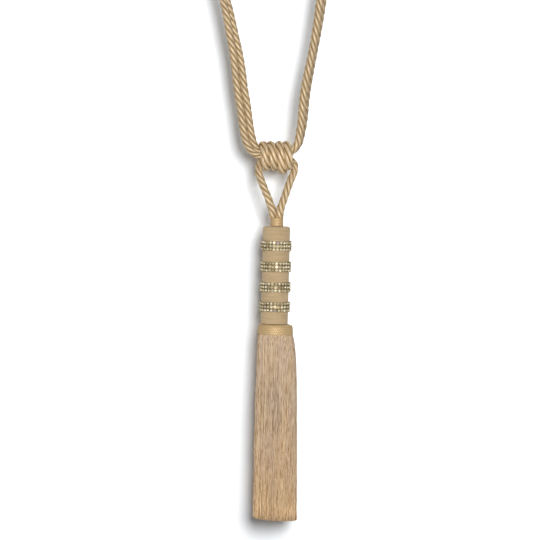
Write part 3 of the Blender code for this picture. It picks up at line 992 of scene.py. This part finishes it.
# How deep the nick between two turns of thread is, and how unevenly the turns lie.
THREAD_RELIEF = 0.00011
THREAD_WANDER = 0.00003
HEAD_FOOT_STEP = 0.0004
# The darkest turn's tone, and how far the others may be above it.
WOUND_TONE = 0.55
WOUND_SPREAD = 0.45


def head_profile(half, rng):
    """The head's radius and drop in half turns of thread, crest and nick, from axis to axis."""
    across = HEAD_RADIUS - HEAD_SHOULDER
    flat = int(across / half)
    profile = [(0.0, 0.0)]
    profile += [(across * i / flat, THREAD_RELIEF * (i % 2)) for i in range(1, flat)]
    arc = int(0.5 * math.pi * HEAD_SHOULDER / half)
    for i in range(arc + 1):
        angle = 0.5 * math.pi * i / arc
        reach = HEAD_SHOULDER - THREAD_RELIEF * (i % 2)
        profile.append((across + reach * math.sin(angle),
                        HEAD_SHOULDER - reach * math.cos(angle)))
    start = HEAD_SHOULDER + half
    wander = {}
    for i in range(int((HEAD_LENGTH - start) / half)):
        wander[i // 2] = wander.get(i // 2, rng.gauss(0.0, 1.0))
        radius = HEAD_RADIUS - THREAD_RELIEF * (i % 2) + THREAD_WANDER * wander[i // 2]
        profile.append((radius, start + half * i))
    return profile + [(HEAD_RADIUS - HEAD_FOOT_STEP, HEAD_LENGTH), (0.0, HEAD_LENGTH)]


class TIEBACK_OT_head(bpy.types.Operator):
    """Wind the head with thread"""

    bl_idname = "tieback.head"
    bl_label = "Head"

    def execute(self, context):
        head = context.scene.tieback.head
        half = 0.5 * head.pitch
        count = int(HEAD_LENGTH / half)
        mesh = spun_mesh("head_winding", head_profile(half, random.Random(3)), HEAD_STEPS)
        turn_of = np.round(-mesh_points(mesh)[:, 2] / head.pitch).astype(int)
        tones = np.random.default_rng(11).random(count + 1)
        set_attribute(mesh, "tone", WOUND_TONE + WOUND_SPREAD * tones[np.clip(turn_of, 0, count)])
        mesh.transform(TASSEL)
        add_piece("head_winding", mesh, wound_material(head), "wound_thread", "head")
        return {"FINISHED"}


class TIEBACK_OT_collar(bpy.types.Operator):
    """Weave the collar, and the binding of the neck"""

    bl_idname = "tieback.collar"
    bl_label = "Collar and neck"

    def execute(self, context):
        braid = context.scene.tieback.braid
        finish = braid_material(braid)
        top = HEAD_LENGTH + FIT_GAP
        outline = [(radius, top + drop) for radius, drop in COLLAR_FORM]
        mesh = woven_band("collar_braid", outline, COLLAR_THICKNESS, braid)
        mesh.transform(TASSEL @ Matrix.Translation((COLLAR_SHIFT, 0.0, 0.0)))
        collar = add_piece("collar_braid", mesh, finish, "braid", "collar")
        mesh = woven_band("neck_binding", NECK_FORM, None, braid)
        mesh.transform(TASSEL)
        add_piece("neck_binding", mesh, finish, "rope", "neck_sleeve")
        return {"FINISHED"}


WEAVE_STEPS = 4
WALL_EDGE = 0.00002


def woven_band(name, outline, thickness, braid):
    """A woven band round the tassel, from an outline of radius and drop.

    With a thickness it is a thin wall. Without, it is closed over at both ends.
    """
    outline = np.array(outline, dtype=float)
    length = travelled(outline)
    around = round(2.0 * math.pi * outline[:, 0].mean() / braid.weave)
    down = round(length[-1] / braid.weave)
    rows = down * WEAVE_STEPS
    places = np.linspace(0.0, length[-1], rows + 1)
    radii, drops = (np.interp(places, length, column) for column in outline.T)
    profile = list(zip(radii, drops))
    if thickness:
        profile += [(radius - thickness, drop) for radius, drop in outline[::-1]]
    else:
        profile = [(0.0, drops[0]), *profile, (0.0, drops[-1])]
    lifts = []

    def weave(angle, radius, drop):
        edge = float(np.interp(drop, drops, radii))
        if radius < edge - WALL_EDGE:
            lifts.append(0.0)
            return radius, drop
        u = 0.5 * around * angle
        v = 0.5 * math.pi * down * float(np.interp(drop, drops, places)) / length[-1]
        lift = abs(math.sin(u + v) * math.sin(u - v))
        lifts.append(lift)
        return radius + braid.relief * (lift - 0.5), drop

    mesh = spun_mesh(name, profile, around * WEAVE_STEPS, weave)
    set_attribute(mesh, "crest", lifts)
    return mesh


# The forms of a stone and its cup. Lengths are shares of the stone's radius.
STONE_SIDES = 8
STONE_HEIGHT = 0.5
STONE_TABLE = 0.58
STONE_RAISED = 0.35
CUP_SIDES = 12
CUP_RIM = 1.16
CUP_HEIGHT = 0.5
CLAW_REACH = 1.04
CLAW_SLANT = math.radians(-28.0)
CLAW_SIZE = (0.2, 0.34, 0.72)
CLAW_ROUND = 0.07


def stone_template(radius):
    """One cut stone: a table, a crown of facets and a girdle, on its back at the origin."""
    bm = bmesh.new()
    height = STONE_HEIGHT * radius
    made = bmesh.ops.create_cone(bm, cap_ends=True, segments=STONE_SIDES, radius1=radius,
                                 radius2=STONE_TABLE * radius, depth=height,
                                 matrix=Matrix.Translation((0.0, 0.0, 0.5 * height)))
    table = [v for v in made["verts"] if v.co.z > 0.5 * height]
    bmesh.ops.rotate(bm, verts=table, matrix=Matrix.Rotation(math.pi / STONE_SIDES, 3, "Z"))
    bmesh.ops.triangulate(bm, faces=[f for f in bm.faces if len(f.verts) == 4])
    bmesh.ops.translate(bm, verts=bm.verts[:], vec=(0.0, 0.0, STONE_RAISED * radius))
    bmesh.ops.recalc_face_normals(bm, faces=bm.faces[:])
    return finished(bm, "stone")


def cup_template(radius):
    """One gilt cup: a square-shouldered ring with four claws bent over the stone."""
    bm = bmesh.new()
    rim = CUP_RIM * radius
    height = CUP_HEIGHT * radius
    bmesh.ops.create_cone(bm, cap_ends=True, segments=CUP_SIDES, radius1=rim, radius2=rim,
                          depth=height, matrix=Matrix.Translation((0.0, 0.0, 0.5 * height)))
    place = Matrix.Translation((CLAW_REACH * radius, 0.0, height))
    slant = Matrix.Rotation(CLAW_SLANT, 4, "Y")
    size = Matrix.Diagonal((*(radius * share for share in CLAW_SIZE), 1.0))
    for corner in range(4):
        turn = Matrix.Rotation(math.pi / 4.0 + corner * math.pi / 2.0, 4, "Z")
        claw = bmesh.ops.create_cube(bm, size=1.0, matrix=turn @ place @ slant @ size)
        edges = dict.fromkeys(e for v in claw["verts"] for e in v.link_edges)
        # Only the claw's four long edges are as long as half a radius.
        long = [e for e in edges if e.calc_length() > 0.5 * radius]
        bmesh.ops.bevel(bm, geom=long, offset=CLAW_ROUND * radius, segments=1, profile=0.5,
                        affect="EDGES", material=-1)
    bmesh.ops.recalc_face_normals(bm, faces=bm.faces[:])
    return finished(bm, "cup")


def repeated_mesh(name, template, places, strip=None):
    """Copies of a small mesh at many places, and the strip under them, as one mesh."""
    bm = bmesh.new()
    for place in places:
        start = len(bm.verts)
        bm.from_mesh(template)
        bm.verts.ensure_lookup_table()
        bmesh.ops.transform(bm, matrix=place, verts=bm.verts[start:])
    if strip is not None:
        bm.from_mesh(strip)
    return finished(bm, name)


# The strip under a band's cups.
STRIP_THICKNESS = 0.0003
STRIP_MARGIN = 0.0008
STRIP_STEPS = 48
# How far a stone is askew, how the painted glints of its facets spread from dark to bright, and how
# much painted sparkle makes a whole stone darker or brighter than that.
STONE_TILT = 0.15
STONE_TURN = 0.2
FACET_SPREAD = (1.1, 1.0)
SPARKLE = (-0.2, 0.5)


def stone_places(drop, turned, band, rng):
    """Where a band's stones and cups sit: row by row, each a little askew."""
    outward = Matrix.Rotation(math.radians(90.0), 4, "Y")
    reach = HEAD_RADIUS + FIT_GAP + STRIP_THICKNESS * 0.5
    places = []
    for row in range(band.rows):
        level = drop + band.pitch * (row - 0.5 * (band.rows - 1))
        for column in range(band.stones):
            angle = 2.0 * math.pi * column / band.stones + turned
            askew = [rng.normal(0.0, STONE_TILT), rng.normal(0.0, STONE_TILT),
                     rng.uniform(0, STONE_TURN)]
            tilt = Matrix.Identity(4)
            for part, axis in zip(askew, "XYZ"):
                tilt = tilt @ Matrix.Rotation(part, 4, axis)
            place = Matrix.Translation((reach, 0.0, -level))
            places.append(Matrix.Rotation(angle, 4, "Z") @ place @ outward @ tilt)
    return places


class TIEBACK_OT_bands(bpy.types.Operator):
    """Set the four bands of stones"""

    bl_idname = "tieback.bands"
    bl_label = "Stone bands"

    def execute(self, context):
        band = context.scene.tieback.band
        gilt, glass = gilt_material(band), stone_material(band)
        stone, cup = stone_template(band.stone), cup_template(band.stone)
        faces = len(stone.polygons)
        rng = np.random.default_rng(5)
        inner = HEAD_RADIUS + FIT_GAP
        outer = inner + STRIP_THICKNESS
        half = 0.5 * band.rows * band.pitch - STRIP_MARGIN
        for number, drop in enumerate(BAND_DROPS, start=1):
            places = stone_places(drop, number * BAND_TURN, band, rng)
            mesh = repeated_mesh(f"band_stones_{number}", stone, places)
            # Each facet gets a painted glint at random, each stone some painted sparkle, a few
            # stones painted flashes.
            facet = rng.beta(*FACET_SPREAD, len(places) * faces)
            sparkle = np.repeat(rng.uniform(*SPARKLE, len(places)), faces)
            set_attribute(mesh, "facet", np.clip(facet + sparkle, 0.0, 1.0), "FACE")
            set_attribute(mesh, "flash", np.repeat(rng.random(len(places)), faces), "FACE")
            mesh.transform(TASSEL)
            add_piece(f"band_stones_{number}", mesh, glass, "stone_chain")
            top, foot = drop - half, drop + half
            strip = spun_mesh("strip", [(inner, top), (outer, top), (outer, foot), (inner, foot)],
                              STRIP_STEPS)
            mesh = repeated_mesh(f"band_cups_{number}", cup, places, strip)
            mesh.transform(TASSEL)
            add_piece(f"band_cups_{number}", mesh, gilt, "stone_chain", f"stone_band_{number}")
        return {"FINISHED"}


SKIRT_POINTS = 24
CORE_POINTS = 6
# The outer layers, as shares of the skirt's radius, and the core's reach.
SKIRT_LAYERS = ((0.93, 1.0), (0.87, 0.97), (0.80, 0.92))
CORE_REACH = 0.85
# How far loose threads stray, and a core thread's radius.
OUTER_WANDER = 0.0008
CORE_WANDER = 0.0003
CORE_THREAD = 0.00048
GOLDEN = 0.61803399
# Threads are packed under the collar, and come loose over some way down from there.
PACKED = 0.65
LOOSE_FROM = 0.105
LOOSE_OVER = 0.12
# The shortest and longest of a thread's own waves, how much finer its second ones are, and the
# waves that a whole lock shares, in and out and sideways.
WAVES = (0.03, 0.11)
FINER = 0.4
LOCK_WAVE_OUT = 0.09
LOCK_WAVE_SIDE = 0.12
LOCKS = 90
# A thread's points lie closer towards its root, and its ragged end is taken up near the hem.
ROOT_POWER = 1.15
HEM_POWER = 6
# How much the threads' tones differ, and their furthest.
THREAD_TONE = 0.07
THREAD_TONE_MOST = 0.2


def wave(drop, length, phase):
    """A wave of this length along a thread."""
    return np.sin(2.0 * math.pi * drop / length + phase)


def skirt_lines(count, points, rng, inner, outer, wander):
    """Lines of loose threads from under the collar to the hem."""
    angles = 2.0 * math.pi * (np.arange(count) * GOLDEN % 1.0)
    shares = np.sqrt(rng.uniform(inner * inner, outer * outer, count))
    drops_form, radii_form, swings_form = np.array(SKIRT_FORM).T
    share_down = np.linspace(0.0, 1.0, points) ** ROOT_POWER
    start, end = drops_form[0], drops_form[-1]
    lock = (angles / (2.0 * math.pi) * LOCKS).astype(int)
    lock_phase = rng.uniform(0.0, 2.0 * math.pi, (LOCKS + 1, 2))
    drop = start + (end - start) * share_down
    loose = np.clip((drop - LOOSE_FROM) / LOOSE_OVER, 0.05, 1.0)
    form = np.interp(drop, drops_form, radii_form)
    swing = np.interp(drop, drops_form, swings_form)
    lines = []
    for i in range(count):
        # Under the collar the outer threads are packed side by side.
        packed = (PACKED * (1.0 - loose) if inner else 0.0) * (1.0 - shares[i])
        waves = rng.uniform(*WAVES, 4)
        phases = rng.uniform(0.0, 2.0 * math.pi, 4)
        out = wave(drop, waves[0], phases[0]) + 0.5 * wave(drop, FINER * waves[1], phases[1])
        side = wave(drop, waves[2], phases[2]) + 0.5 * wave(drop, FINER * waves[3], phases[3])
        together = wave(drop, LOCK_WAVE_OUT, lock_phase[lock[i], 0])
        apart = wave(drop, LOCK_WAVE_SIDE, lock_phase[lock[i], 1])
        radius = form * (shares[i] + packed)
        radius = radius + loose * wander * (0.5 * out + 0.15 * together - 0.3)
        sideways = loose * wander * (0.9 * side + 0.35 * apart)
        angle = angles[i] + sideways / np.maximum(radius, 0.002)
        x = radius * np.cos(angle) + swing
        ragged = rng.uniform(-HEM_RAGGED, HEM_RAGGED) + HEM_SLOPE * (x[-1] - swing[-1])
        down = drop + ragged * share_down ** HEM_POWER
        lines.append(np.stack((x, radius * np.sin(angle), -down), axis=1))
    return lines


def skirt_mesh(name, lines, width, radii, rng):
    """A mesh of loose threads, each with its own tone."""
    mesh, places = tube_mesh(name, lines, width, 0.0, radii)
    tones = rng.normal(0.0, THREAD_TONE, len(lines))
    tones = np.clip(tones, -THREAD_TONE_MOST, THREAD_TONE_MOST)
    set_attribute(mesh, "tone", tones[places[:, 0]])
    close_mesh(mesh)
    return mesh


# The bundle's radius as a share of the skirt's, how much shorter it is, and its tone.
BUNDLE_SHARE = 0.955
BUNDLE_SHORTER = 0.004
BUNDLE_TONE = -0.05
BUNDLE_STEPS = 64


def bundle_mesh(name):
    """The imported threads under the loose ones, as one closed body."""
    drops, radii, swings = np.array(SKIRT_FORM).T
    drops = drops - BUNDLE_SHORTER * (drops - drops[0]) / (drops[-1] - drops[0])
    profile = [(0.0, drops[0]), *zip(BUNDLE_SHARE * radii, drops), (0.0, drops[-1])]
    mesh = spun_mesh(name, profile, BUNDLE_STEPS)
    points = mesh_points(mesh)
    points[:, 0] += np.interp(-points[:, 2], drops, swings)
    mesh.vertices.foreach_set("co", points.ravel())
    set_attribute(mesh, "tone", np.full(len(points), BUNDLE_TONE))
    return mesh


class TIEBACK_OT_skirt(bpy.types.Operator):
    """Hang the skirt's loose threads"""

    bl_idname = "tieback.skirt"
    bl_label = "Skirt"

    def execute(self, context):
        skirt = context.scene.tieback.skirt
        finish = thread_material(skirt)
        rng = np.random.default_rng(17)
        meshes = []
        for number, (inner, outer) in enumerate(SKIRT_LAYERS, start=1):
            lines = skirt_lines(skirt.threads // len(SKIRT_LAYERS), SKIRT_POINTS, rng, inner,
                                outer, OUTER_WANDER)
            meshes.append(skirt_mesh(f"skirt_threads_{number}", lines, skirt.thread, [1.0] * 4,
                                     rng))
        lines = skirt_lines(skirt.core_threads, CORE_POINTS, rng, 0.0, CORE_REACH, CORE_WANDER)
        meshes.append(skirt_mesh("skirt_core", lines, CORE_THREAD, [1.0] * 3, rng))
        meshes.append(bundle_mesh("skirt_bundle"))
        for mesh in meshes:
            mesh.transform(TASSEL)
            add_piece(mesh.name, mesh, finish, "skirt_threads",
                      *(["skirt"] if mesh is meshes[0] else []))
        return {"FINISHED"}


class TIEBACK_PT_panel(bpy.types.Panel):
    """Steps of making the tieback"""

    bl_idname = "TIEBACK_PT_panel"
    bl_label = "Curtain Tieback"
    bl_space_type = "VIEW_3D"
    bl_region_type = "UI"
    bl_category = "Tieback"

    def draw(self, context):
        for name in TiebackSettings.__annotations__:
            group = getattr(context.scene.tieback, name)
            box = self.layout.box()
            for key in group.__annotations__:
                box.prop(group, key)
        for step in STEPS:
            self.layout.operator(step.bl_idname)


SETTINGS = (RopeSettings, HeadSettings, BandSettings, BraidSettings, SkirtSettings, StageSettings,
            TiebackSettings)
STEPS = (TIEBACK_OT_stage, TIEBACK_OT_loop, TIEBACK_OT_knot, TIEBACK_OT_head, TIEBACK_OT_bands,
         TIEBACK_OT_collar, TIEBACK_OT_skirt, TIEBACK_OT_object_light)
CLASSES = (*SETTINGS, *STEPS, TIEBACK_PT_panel)


def register():
    for made in CLASSES:
        bpy.utils.register_class(made)
    bpy.types.Scene.tieback = PointerProperty(type=TiebackSettings)


def unregister():
    del bpy.types.Scene.tieback
    for made in reversed(CLASSES):
        bpy.utils.unregister_class(made)


def main():
    register()
    bpy.ops.tieback.stage()
    bpy.ops.tieback.loop()
    bpy.ops.tieback.knot()
    bpy.ops.tieback.head()
    bpy.ops.tieback.bands()
    bpy.ops.tieback.collar()
    bpy.ops.tieback.skirt()
    bpy.ops.tieback.object_light()


if __name__ == "__main__":
    main()
